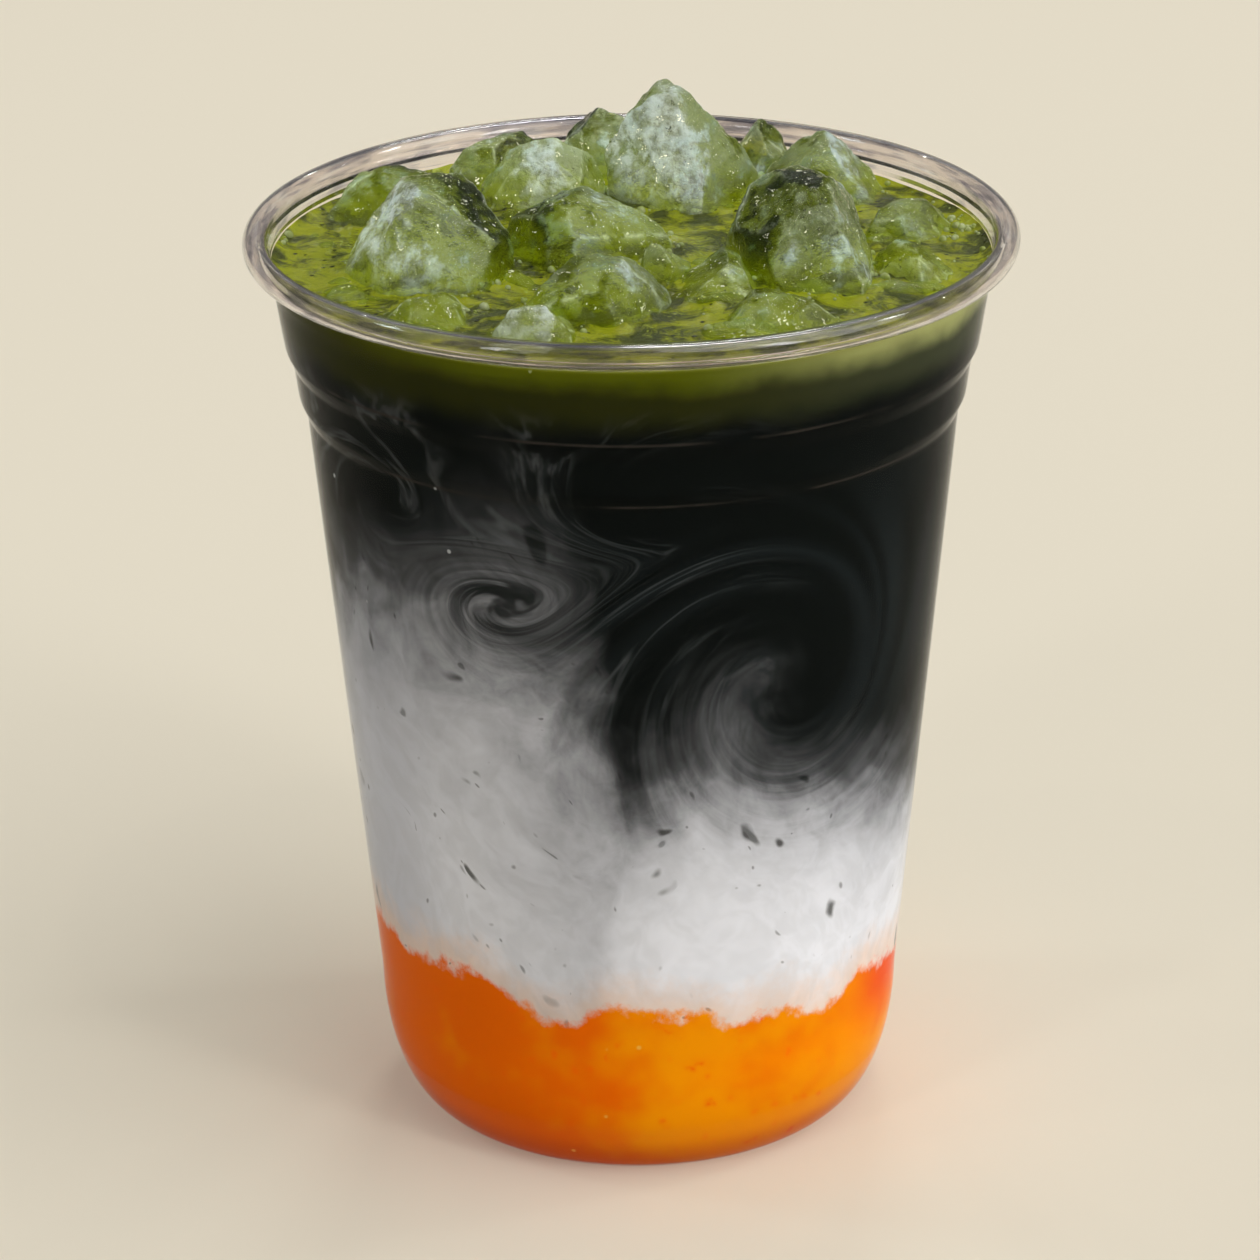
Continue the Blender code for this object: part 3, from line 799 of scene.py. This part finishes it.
def ice_tints():
    """Colour, glow, roughness and relief of wet ice: each facet has a tone, painted paler where it faces
    the lump's pale side (painted light), broken up by clouds and cracks, from dark green through pale to
    white, which is partly clouded ice and partly painted highlight, with grains of matcha. Glow is painted
    light
    too: painted glints on flecks and painted highlights on bright edges and white parts."""
    tree, given, result = group("ice_tints", {"White": "Float", "Green": "Float", "Grains": "Float",
                                              "Shift": "Vector", "Tone": "Float", "Edge": "Float"},
                                {"Color": "Color", "Glow": "Color", "Roughness": "Float",
                                 "Height": "Float"})
    place = vector_calc(tree, "ADD", millimetres(tree), given["Shift"])
    here = parts_of(tree, millimetres(tree))
    cloud, _ = noise(tree, place, 0.16, 2.0, 0.6)
    fine, drift = noise(tree, place, 0.42, 4.0, 0.72)
    level = line(tree, given["Tone"], 1.3, line(tree, cloud, 1.9, -1.12))
    level = plus(tree, level, minus(tree, fine, 0.5))
    level = plus(tree, level, line(tree, given["White"], 0.34, times(tree, given["Green"], -0.34)))
    body = blended(tree, ramp(tree, level, 0.20, 0.42), (0.018, 0.028, 0.002), (0.27, 0.33, 0.024))
    body = blended(tree, ramp(tree, level, 0.44, 0.66), body, (0.70, 0.79, 0.46))
    bright = ramp(tree, level, 0.88, 1.40)
    body = blended(tree, bright, body, (0.96, 1.0, 1.0))
    # Teal patches: painted reflection of a blue sky on the ice.
    sky_reflection = times(tree, ramp(tree, cloud, 0.50, 0.62), ramp(tree, fine, 0.46, 0.56))
    body = blended(tree, times(tree, sky_reflection, 0.4), body, (0.45, 0.80, 0.80))
    wet = ramp(tree, line(tree, cloud, 7.0, here[2]), 124.0, 118.8)
    body = blended(tree, times(tree, wet, 0.85), body, (0.40, 0.46, 0.008))
    distance, pick = cells(tree, vector_calc(tree, "ADD", place, scaled(tree, drift, 7.0)), 1.15)
    crowd = ramp_to(tree, ramp(tree, cloud, 0.42, 0.60), 2.0, 0.3)
    grain = times(tree, ramp(tree, distance, 0.36, 0.18),
                  calc(tree, "LESS_THAN", pick[0], times(tree, given["Grains"], crowd)))
    body = blended(tree, times(tree, grain, 0.9), body, (0.012, 0.018, 0.003))
    # Flecks that glow: painted glints.
    reach = line(tree, pick[2], 0.22, 0.12)
    few = ramp_to(tree, ramp(tree, cloud, 0.40, 0.60), 0.86, 0.985)
    glint_fleck = times(tree, ramp(tree, minus(tree, distance, reach), 0.05, -0.05),
                  calc(tree, "GREATER_THAN", pick[1], few))
    tree.links.new(body, result["Color"])
    # Glow: painted highlight along facet edges and on white parts, and painted glints on the flecks.
    glow = blended(tree, times(tree, given["Edge"], ramp(tree, fine, 0.40, 0.60)),
                   (0.0, 0.0, 0.0), (0.26, 0.29, 0.22))
    lit = times(tree, bright, line(tree, wet, -0.9, 1.0))
    glow = blended(tree, times(tree, lit, ramp(tree, fine, 0.36, 0.64)), glow, (0.26, 0.30, 0.32))
    glow = blended(tree, glint_fleck, glow, (0.90, 0.86, 0.70))
    tree.links.new(glow, result["Glow"])
    tree.links.new(ramp_to(tree, ramp(tree, level, 0.3, 0.9), 0.03, 0.14), result["Roughness"])
    tree.links.new(fine, result["Height"])
    return tree


ice_group = ice_tints()


def wet_ice(name, white, green, grains, clearness, shift):
    """Wet melting ice: part clear, part clouded."""
    material, tree, shader = new_material(name, IOR=1.31, Transmission_Weight=clearness,
                                          Specular_IOR_Level=0.9, Emission_Strength=1.0)
    facet_light = put(tree, "ShaderNodeAttribute", attribute_name="facet_lit_tone")
    facet_edge = put(tree, "ShaderNodeAttribute", attribute_name="facet_edge")
    made = placed_group(tree, ice_group, {"White": white, "Green": green, "Grains": grains,
                                          "Shift": shift, "Tone": facet_light.outputs["Fac"],
                                          "Edge": facet_edge.outputs["Fac"]}).outputs
    tree.links.new(made["Color"], shader.inputs["Base Color"])
    # Glow as emission: painted glints and highlights on the ice.
    tree.links.new(made["Glow"], shader.inputs["Emission Color"])
    tree.links.new(made["Roughness"], shader.inputs["Roughness"])
    bumped(tree, shader, made["Height"], 0.85, 0.0008)
    lamps_shine_through(tree, shader, (0.80, 0.88, 0.72))
    return material


# How white, green, grainy and clear each lump is, and which way its pale side faces in degrees: the side
# painted paler, as painted light
ICE_LOOKS = {
    "ice_peak_back": (0.85, 0.15, 0.12, 0.72, -30.0), "ice_block_left": (0.40, 0.45, 0.15, 0.80, -50.0),
    "ice_white_top": (1.05, 0.20, 0.03, 0.66, 50.0), "ice_centre": (0.12, 0.75, 0.25, 0.80, 70.0),
    "ice_slab_front": (0.35, 0.50, 0.12, 0.80, 60.0), "ice_chip_front": (0.65, 0.35, 0.05, 0.70, 0.0),
    "ice_block_right": (0.24, 0.55, 0.45, 0.78, 65.0), "ice_back_right": (0.30, 0.65, 0.15, 0.75, 30.0),
    "ice_flat_right": (0.35, 0.50, 0.10, 0.78, 90.0), "ice_chip_right": (0.00, 1.30, 0.25, 0.60, 0.0),
    "ice_green_back": (0.05, 0.95, 0.05, 0.70, 0.0), "ice_back_left": (0.12, 0.80, 0.15, 0.75, -40.0),
    "ice_far_left": (0.30, 0.60, 0.15, 0.75, -80.0), "ice_lump_right": (0.10, 0.75, 0.30, 0.70, 60.0),
    "ice_chip_centre": (0.20, 0.80, 0.40, 0.70, 0.0), "ice_sliver_back": (0.10, 0.90, 0.10, 0.70, 0.0),
    "ice_flat_front_right": (0.10, 0.75, 0.20, 0.75, 30.0),
    "ice_flat_front_left": (0.15, 0.65, 0.15, 0.78, 0.0)}


def lump_reach(solid, middle, directions, seed, pale):
    """Reach of a lump along unit directions: the soft minimum of the distances to the faces of its
    solid and to flat cuts a little inside them, which leaves broad facets with melted edges. Gives
    each place the tone of its facet too, painted paler on facets that face the lump's pale side
    (painted light), and how near an edge it is."""
    faces = solid.polygons
    normals = np.empty(len(faces) * 3)
    centres = np.empty(len(faces) * 3)
    faces.foreach_get("normal", normals)
    faces.foreach_get("center", centres)
    normals = normals.reshape(-1, 3)
    distances = np.sum(normals * (centres.reshape(-1, 3) / MM - middle), axis=1) + ICE_SWELL
    draw = np.random.default_rng(seed + 400)
    turn = (np.arange(ICE_CUTS) + draw.uniform(0.0, 1.0, ICE_CUTS)) * math.tau * 2.0 / ICE_CUTS
    up = np.radians(draw.uniform(8.0, 58.0, ICE_CUTS))
    facing = np.column_stack([np.cos(turn) * np.cos(up), np.sin(turn) * np.cos(up), np.sin(up)])
    corners = np.empty(len(solid.vertices) * 3)
    solid.vertices.foreach_get("co", corners)
    furthest = ((corners.reshape(-1, 3) / MM - middle) @ facing.T).max(axis=0)
    depth = furthest * draw.uniform(0.76, 0.92, ICE_CUTS)
    planes = np.vstack([normals / distances[:, None], facing / depth[:, None]])
    closeness = np.maximum(directions @ planes.T, 0.0)
    total = (closeness ** EDGE_SHARPNESS).sum(axis=1)
    # Facets turned towards the pale side get a paler tone: painted light, with some random spread.
    lit_bearing = np.array([math.sin(math.radians(pale)), -math.cos(math.radians(pale)), 0.25])
    tones = 0.5 + 0.5 * np.vstack([normals, facing]) @ lit_bearing
    tones += 0.14 * waves_noise(np.vstack([normals, facing]), 1.6, seed + 7)
    hold = closeness ** (1.6 * EDGE_SHARPNESS)
    tone = (hold @ tones) / hold.sum(axis=1)
    nearest = np.sort(closeness, axis=1)[:, -2:]
    edge = (nearest[:, 0] / nearest[:, 1]) ** EDGE_SHARPNESS
    sharp = np.concatenate([np.zeros(len(normals)), np.ones(ICE_CUTS)])
    edge *= (hold @ sharp) / hold.sum(axis=1)
    return total ** (-1.0 / EDGE_SHARPNESS), tone, edge


directions, ball_faces = icosphere(6)
for seed, ice_name in enumerate(ice_names):
    low, high = (np.array(corner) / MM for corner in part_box(ice_name))
    middle = 0.5 * (low + high)
    white, green, grains, clearness, pale = ICE_LOOKS[ice_name]
    reach, tone, edge = lump_reach(bpy.data.objects[ice_name].data, middle, directions, seed, pale)
    spots = middle + directions * reach[:, None]
    dimples = 0.12 * waves_noise(spots, 8.0, seed + 1) + 0.09 * waves_noise(spots, 3.2, seed + 51)
    dimples += 0.05 * waves_noise(spots, 1.4, seed + 101, 40)
    spots += directions * dimples[:, None]
    mesh = joined_mesh("melting_" + ice_name, spots[None], ball_faces)
    mesh.attributes.new("facet_lit_tone", "FLOAT", "POINT").data.foreach_set("value", tone)
    mesh.attributes.new("facet_edge", "FLOAT", "POINT").data.foreach_set("value", edge)
    mesh.materials.append(wet_ice(ice_name + "_wet", white, green, grains, clearness,
                                  (17.0 * seed, 5.0 * seed, 0.0)))
    lump = placed("melting_" + ice_name, mesh)
    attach(lump, "root")
    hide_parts(ice_name)


# Ice splinters
# Small flat pieces of ice that broke off the lumps when the cup was filled. They float in the matcha
# between the lumps, nearly level with it.
CHIPS = 64
CHIP_CUTS = 9
CHIP_SHARPNESS = 22.0
CHIPS_WITHIN = 42.5

rays, ray_faces = icosphere(4)
draw = np.random.default_rng(91)
chip_turn = draw.uniform(0.0, math.tau, CHIPS)
chip_radius = CHIPS_WITHIN * np.sqrt(draw.uniform(0.02, 1.0, CHIPS))
chip_places = np.column_stack([chip_radius * np.sin(chip_turn), -chip_radius * np.cos(chip_turn),
                               np.full(CHIPS, LIQUID_LEVEL - 0.25)])
chip_size = 1.0 + 2.6 * draw.uniform(0.0, 1.0, CHIPS) ** 1.6
chip_shape = np.column_stack([draw.uniform(0.8, 1.7, CHIPS), draw.uniform(0.6, 1.1, CHIPS),
                              draw.uniform(0.35, 0.6, CHIPS)])
chip_cuts = draw.normal(size=(CHIPS, CHIP_CUTS, 3))
cut_depth = draw.uniform(0.55, 0.95, (CHIPS, CHIP_CUTS, 1))
chip_cuts /= np.linalg.norm(chip_cuts, axis=2)[:, :, None] * cut_depth
closeness = np.maximum(np.einsum("dk,cpk->cdp", rays, chip_cuts), 0.0)
chip_reach = ((closeness ** CHIP_SHARPNESS).sum(axis=2) + 1.0) ** (-1.0 / CHIP_SHARPNESS)
points = rays[None, :, :] * chip_reach[:, :, None] * chip_shape[:, None, :] * chip_size[:, None, None]
heading = draw.uniform(0.0, math.tau, CHIPS)
spun = np.stack([points[:, :, 0] * np.cos(heading)[:, None] - points[:, :, 1] * np.sin(heading)[:, None],
                 points[:, :, 0] * np.sin(heading)[:, None] + points[:, :, 1] * np.cos(heading)[:, None],
                 points[:, :, 2]], axis=-1) + chip_places[:, None, :]
chip_mesh = joined_mesh("ice_splinters", spun, ray_faces)
# Each splinter has a random tone, painted paler towards its right side, where the key light falls: painted
# light.
chip_lit_tone = np.repeat(draw.uniform(0.1, 0.9, CHIPS), len(rays)) + 0.3 * np.tile(rays[:, 0], CHIPS)
chip_mesh.attributes.new("facet_lit_tone", "FLOAT", "POINT").data.foreach_set("value", chip_lit_tone)
chip_mesh.attributes.new("facet_edge", "FLOAT", "POINT").data.foreach_set("value", np.zeros(len(chip_lit_tone)))
chip_mesh.materials.append(wet_ice("splinters_wet", 0.15, 0.75, 0.10, 0.70, (3.0, 8.0, 0.0)))
chips = placed("ice_splinters", chip_mesh)
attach(chips, "root")


# Froth and bubbles
# Whisking leaves fine bubbles in the matcha. They gather where the drink meets the ice and the cup,
# half sunk in its surface.
BUBBLES = 420
PLACES_TRIED = 9000
FROTH_WITHIN = 45.0

draw = np.random.default_rng(77)
spread_turn = draw.uniform(0.0, math.tau, PLACES_TRIED)
spread_radius = FROTH_WITHIN * np.sqrt(draw.uniform(0.0, 1.0, PLACES_TRIED))
spot_x = spread_radius * np.sin(spread_turn)
spot_y = -spread_radius * np.cos(spread_turn)
spot_z = matcha_top(spot_x, spot_y)
climb = spot_z - LIQUID_LEVEL
kept = np.argsort(-(climb + draw.uniform(0.0, 0.55, PLACES_TRIED)))[:BUBBLES]
bubble_sizes = 0.16 + 0.55 * draw.uniform(0.0, 1.0, BUBBLES) ** 3
bubble_places = np.column_stack([spot_x, spot_y, spot_z])[kept]
bubble_points, bubble_faces = icosphere(2)
bubble_shapes = bubble_places[:, None, :] + bubble_points[None, :, :] * bubble_sizes[:, None, None]
bubbles = placed("froth_bubbles", joined_mesh("froth_bubbles", bubble_shapes, bubble_faces))
material, tree, shader = new_material("froth_film", IOR=1.33, Transmission_Weight=0.55)
shade, _ = noise(tree, millimetres(tree), 0.5, 2.0)
tree.links.new(blended(tree, ramp(tree, shade, 0.3, 0.7), (0.50, 0.60, 0.10), (0.85, 0.92, 0.55)),
               shader.inputs["Base Color"])
tree.links.new(ramp_to(tree, shade, 0.02, 0.12), shader.inputs["Roughness"])
bubbles.data.materials.append(material)
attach(bubbles, "root")


# Studio
# A pale sheet to stand on, one broad key light from the right, a weaker fill and soft boxes for the
# rolled rim to mirror.
FLOOR_COLOUR = (0.72, 0.66, 0.535)
CAMERA_PLACE = (0.0, -0.550, 0.29511)
CAMERA_DOWN = 22.796
CAMERA_SIDE = -0.073
CAMERA_ROLL = -0.627
CAMERA_LENS = 130.3
FLOOR_HALF = 6.0
FLOOR_DROP = -0.00005
FLOOR_GLOW = 0.235
ROOM_COLOUR = (0.95, 0.96, 1.0, 1.0)
ROOM_LIGHT = 0.13
LAMP_AIM = 0.06

floor_mesh = bpy.data.meshes.new("pale_floor")
floor_mesh.from_pydata([(x * FLOOR_HALF, y * FLOOR_HALF, FLOOR_DROP)
                        for x, y in ((-1, -1), (1, -1), (1, 1), (-1, 1))], [], [(0, 1, 2, 3)])
floor = placed("pale_floor", floor_mesh)
material, tree, shader = new_material("pale_paper", Roughness=0.9, Specular_IOR_Level=0.0,
                                      Emission_Strength=FLOOR_GLOW)
paper, _ = noise(tree, put(tree, "ShaderNodeTexCoord").outputs["Object"], 900.0, 2.0)
tint = blended(tree, ramp_to(tree, paper, 0.45, 0.55), FLOOR_COLOUR,
               tuple(0.98 * part for part in FLOOR_COLOUR))
tree.links.new(tint, shader.inputs["Base Color"])
shader.inputs["Emission Color"].default_value = (*FLOOR_COLOUR, 1.0)
floor_mesh.materials.append(material)


def lamp(name, kind, energy, azimuth, elevation, size, tall=None, colour=(1, 1, 1), distance=1.5):
    """A lamp that faces the cup's middle from an azimuth (0 is the camera's side, right is positive)."""
    light = bpy.data.lights.new(name, kind)
    light.energy = energy
    light.color = colour
    if kind == "SUN":
        light.angle = math.radians(size)
    else:
        light.shape = "RECTANGLE"
        light.size = size
        light.size_y = tall or size
    side_turn = math.radians(azimuth)
    up = math.radians(elevation)
    toward = Vector((math.sin(side_turn) * math.cos(up), -math.cos(side_turn) * math.cos(up), math.sin(up)))
    placed(name, light).matrix_world = (Matrix.Translation(toward * distance + Vector((0, 0, LAMP_AIM)))
                                        @ toward.to_track_quat("Z", "Y").to_matrix().to_4x4())


lamp("broad_key", "SUN", 1.25, 62.0, 50.0, size=60.0)
lamp("right_box", "AREA", 2.4, 48.0, 38.0, size=0.2, tall=0.6)
lamp("left_box", "AREA", 1.6, -42.0, 34.0, size=0.15, tall=0.6)
lamp("back_box", "AREA", 2.2, 172.0, 48.0, size=0.3, tall=0.14)
lamp("left_facet_box", "AREA", 1.2, -100.0, 50.0, size=0.14, tall=0.14, colour=(0.85, 0.95, 1.0))
lamp("right_facet_box", "AREA", 1.2, 104.0, 46.0, size=0.14, tall=0.14, colour=(0.9, 0.97, 1.0))
lamp("top_box", "AREA", 2.2, 120.0, 78.0, size=0.9, tall=0.9)
# Small warm lamps: azimuth and elevation in degrees, for the glints on the wet ice
SMALL_LAMPS = ((150.0, 50.0), (-158.0, 42.0), (186.0, 62.0), (122.0, 38.0),
               (-118.0, 55.0), (-60.0, 58.0), (35.0, 64.0), (170.0, 34.0))
for number, (azimuth, elevation) in enumerate(SMALL_LAMPS):
    lamp("small_lamp_" + str(number), "AREA", 0.32, azimuth, elevation, size=0.014,
         colour=(1.0, 0.94, 0.82))

world = bpy.data.worlds.new("soft_room")
world.use_nodes = True
world.node_tree.nodes["Background"].inputs["Color"].default_value = ROOM_COLOUR
world.node_tree.nodes["Background"].inputs["Strength"].default_value = ROOM_LIGHT
bpy.context.scene.world = world
bpy.context.scene.view_settings.view_transform = "Standard"

camera_data = bpy.data.cameras.new("camera")
camera_data.lens = CAMERA_LENS
camera_data.sensor_width = 36.0
camera = placed("camera", camera_data)
camera.matrix_world = (Matrix.Translation(CAMERA_PLACE)
                       @ Matrix.Rotation(math.radians(-CAMERA_SIDE), 4, "Z")
                       @ Matrix.Rotation(math.radians(90.0 - CAMERA_DOWN), 4, "X")
                       @ Matrix.Rotation(math.radians(CAMERA_ROLL), 4, "Z"))
bpy.context.scene.camera = camera
